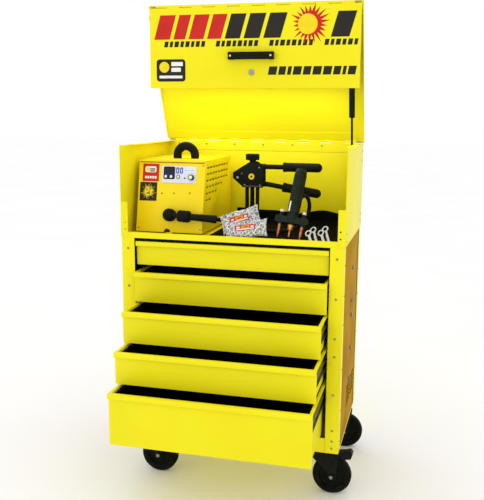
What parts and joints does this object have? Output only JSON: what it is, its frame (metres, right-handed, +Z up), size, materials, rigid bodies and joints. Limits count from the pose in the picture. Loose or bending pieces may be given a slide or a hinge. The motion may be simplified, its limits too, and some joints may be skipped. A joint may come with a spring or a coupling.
{
  "type": "spot welder repair station",
  "caption": "Steel drawer cart on swivel casters with a lidded hutch that holds a capacitor stud spot welder, its gun, a lever puller and pull keys.",
  "frame": {"origin": "on the floor, under the middle of the whole outline as it stands with its drawers and lid open", "axes": "+X to the right seen from the front, +Y to the back, +Z up"},
  "size_m": [0.8464, 0.7949, 1.7403],
  "materials": {
    "yellow_paint": "gloss powder coat",
    "welder_paint": "gloss powder coat",
    "black_steel": "satin black",
    "zinc_steel": "zinc plated",
    "bright_steel": "bright",
    "black_plastic": "fine grain",
    "dark_plastic": "satin",
    "panel_membrane": "printed film",
    "button_plastic": "gloss",
    "copper": "worn",
    "black_rubber": "matt",
    "gun_plastic": "fine grain",
    "tyre": "matt",
    "clear_film": "crinkled film"
  },
  "bodies": {
    "cart": {"corner_posts": "yellow_paint", "cabinet_side_left": "yellow_paint", "cabinet_side_right": "yellow_paint", "cabinet_back": "yellow_paint", "cabinet_base": "yellow_paint", "work_deck": "yellow_paint", "hutch_side_left": "yellow_paint", "hutch_side_right": "yellow_paint", "hutch_back": "yellow_paint", "lid_hinge_fixed": "yellow_paint", "slide_rails": "black_steel", "frame_bolts": "zinc_steel", "caster_plates": "black_steel", "welder_cover": "welder_paint", "welder_chassis": "welder_paint", "welder_handle": "black_plastic", "control_panel": "panel_membrane", "capacitor_bank": "dark_plastic", "transformer": "copper", "gun_plug": "black_rubber", "gun_cable": "black_rubber", "weld_gun": "gun_plastic", "gun_electrodes": "copper", "puller_frame": "black_steel", "pull_keys": "bright_steel", "stud_bags": "clear_film"},
    "lid": {"lid_panel": "yellow_paint", "lid_hinge_leaves": "yellow_paint", "strut_bracket": "black_steel"},
    "flap": {"flap_panel": "yellow_paint", "flap_pull": "black_plastic"},
    "lock": {"flap_lock": "zinc_steel"},
    "strut_tube": {"strut_cylinder": "black_steel"},
    "strut_shaft": {"strut_rod": "bright_steel"},
    "drawer_1": {"drawer_1": "yellow_paint", "drawer_slides_1": "bright_steel"},
    "drawer_2": {"drawer_2": "yellow_paint", "drawer_slides_2": "bright_steel"},
    "drawer_3": {"drawer_3": "yellow_paint", "drawer_slides_3": "bright_steel"},
    "drawer_4": {"drawer_4": "yellow_paint", "drawer_slides_4": "bright_steel"},
    "drawer_5": {"drawer_5": "yellow_paint", "drawer_slides_5": "bright_steel"},
    "fork_front_left": {"caster_fork_front_left": "black_steel"},
    "wheel_front_left": {"caster_wheel_front_left": "tyre"},
    "brake_front_left": {"caster_brake_front_left": "black_plastic"},
    "fork_front_right": {"caster_fork_front_right": "black_steel"},
    "wheel_front_right": {"caster_wheel_front_right": "tyre"},
    "brake_front_right": {"caster_brake_front_right": "black_plastic"},
    "fork_rear_left": {"caster_fork_rear_left": "black_steel"},
    "wheel_rear_left": {"caster_wheel_rear_left": "tyre"},
    "fork_rear_right": {"caster_fork_rear_right": "black_steel"},
    "wheel_rear_right": {"caster_wheel_rear_right": "tyre"},
    "button_left": {"button_left": "button_plastic"},
    "button_right": {"button_right": "button_plastic"},
    "button_mode": {"button_mode": "button_plastic"},
    "setting_knob": {"setting_knob": "black_plastic"},
    "puller_lever": {"puller_lever": "black_steel"},
    "puller_knob": {"puller_knob": "black_steel"}
  },
  "joints": [
    {"name": "lid_hinge", "type": "hinge", "parent": "cart", "child": "lid", "pos_m": [-0.02075, 0.3896, 1.238], "axis": [-1, 0, 0], "range_deg": [-67.3, 0]},
    {"name": "flap_hinge", "type": "hinge", "parent": "lid", "child": "flap", "pos_m": [-0.02075, 0.18198, 1.73432], "axis": [-1, 0, 0], "range_deg": [0, 67.3]},
    {"name": "lock_turn", "type": "hinge", "parent": "flap", "child": "lock", "pos_m": [-0.02075, 0.17798, 1.49432], "axis": [0, 1, 0], "range_deg": [0, 90]},
    {"name": "strut_pivot", "type": "hinge", "parent": "lid", "child": "strut_tube", "pos_m": [0.34125, 0.23919, 1.53279], "axis": [-1, 0, 0], "range_deg": [0, 5.56]},
    {"name": "strut_slide", "type": "slide", "parent": "strut_tube", "child": "strut_shaft", "axis": [0, 0.2678, -0.9635], "range_m": [-0.10495, 0]},
    {"name": "drawer_1_slide", "type": "slide", "parent": "cart", "child": "drawer_1", "axis": [0, -1, 0], "range_m": [0, 0.4]},
    {"name": "drawer_2_slide", "type": "slide", "parent": "cart", "child": "drawer_2", "axis": [0, -1, 0], "range_m": [-0.027, 0.373]},
    {"name": "drawer_3_slide", "type": "slide", "parent": "cart", "child": "drawer_3", "axis": [0, -1, 0], "range_m": [-0.139, 0.261]},
    {"name": "drawer_4_slide", "type": "slide", "parent": "cart", "child": "drawer_4", "axis": [0, -1, 0], "range_m": [-0.213, 0.187]},
    {"name": "drawer_5_slide", "type": "slide", "parent": "cart", "child": "drawer_5", "axis": [0, -1, 0], "range_m": [-0.273, 0.127]},
    {"name": "front_left_swivel", "type": "hinge", "parent": "cart", "child": "fork_front_left", "pos_m": [-0.34875, -0.0624, 0.16], "axis": [0, 0, 1], "continuous": true},
    {"name": "front_left_roll", "type": "hinge", "parent": "fork_front_left", "child": "wheel_front_left", "pos_m": [-0.30575, -0.0624, 0.07], "axis": [0, 1, 0], "continuous": true},
    {"name": "front_left_brake", "type": "hinge", "parent": "fork_front_left", "child": "brake_front_left", "pos_m": [-0.29075, -0.0624, 0.147], "axis": [0, 1, 0], "range_deg": [0, 12]},
    {"name": "front_right_swivel", "type": "hinge", "parent": "cart", "child": "fork_front_right", "pos_m": [0.30725, -0.0624, 0.16], "axis": [0, 0, 1], "continuous": true},
    {"name": "front_right_roll", "type": "hinge", "parent": "fork_front_right", "child": "wheel_front_right", "pos_m": [0.35025, -0.0624, 0.07], "axis": [0, 1, 0], "continuous": true},
    {"name": "front_right_brake", "type": "hinge", "parent": "fork_front_right", "child": "brake_front_right", "pos_m": [0.36525, -0.0624, 0.147], "axis": [0, 1, 0], "range_deg": [0, 12]},
    {"name": "rear_left_swivel", "type": "hinge", "parent": "cart", "child": "fork_rear_left", "pos_m": [-0.34875, 0.3316, 0.16], "axis": [0, 0, 1], "continuous": true},
    {"name": "rear_left_roll", "type": "hinge", "parent": "fork_rear_left", "child": "wheel_rear_left", "pos_m": [-0.30575, 0.3316, 0.07], "axis": [0, 1, 0], "continuous": true},
    {"name": "rear_right_swivel", "type": "hinge", "parent": "cart", "child": "fork_rear_right", "pos_m": [0.30725, 0.3316, 0.16], "axis": [0, 0, 1], "continuous": true},
    {"name": "rear_right_roll", "type": "hinge", "parent": "fork_rear_right", "child": "wheel_rear_right", "pos_m": [0.35025, 0.3316, 0.07], "axis": [0, 1, 0], "continuous": true},
    {"name": "button_left_press", "type": "slide", "parent": "cart", "child": "button_left", "axis": [0, 0.9817, -0.1903], "range_m": [0, 0.0015], "stiffness_N_per_m": 400, "springref_m": -0.0005},
    {"name": "button_right_press", "type": "slide", "parent": "cart", "child": "button_right", "axis": [0, 0.9817, -0.1903], "range_m": [0, 0.0015], "stiffness_N_per_m": 400, "springref_m": -0.0005},
    {"name": "button_mode_press", "type": "slide", "parent": "cart", "child": "button_mode", "axis": [0, 0.9817, -0.1903], "range_m": [0, 0.0015], "stiffness_N_per_m": 400, "springref_m": -0.0005},
    {"name": "setting_knob_turn", "type": "hinge", "parent": "cart", "child": "setting_knob", "pos_m": [-0.19275, -0.00953, 1.11726], "axis": [0, -0.9817, 0.1903], "range_deg": [-150, 150]},
    {"name": "puller_lever_squeeze", "type": "hinge", "parent": "cart", "child": "puller_lever", "pos_m": [0.02425, 0.1396, 1.092], "axis": [0, -1, 0], "range_deg": [-12, 9]},
    {"name": "puller_knob_feed", "type": "hinge", "parent": "cart", "child": "puller_knob", "pos_m": [-0.00375, 0.1396, 1.152], "axis": [0, 0, 1], "continuous": true}
  ],
  "couplings": [
    {"joint": "flap_hinge", "follows": "lid_hinge", "ratio": -1},
    {"joint": "strut_pivot", "follows": "lid_hinge", "ratio": -0.078131},
    {"joint": "strut_slide", "follows": "lid_hinge", "m_per_rad": 0.088923}
  ]
}
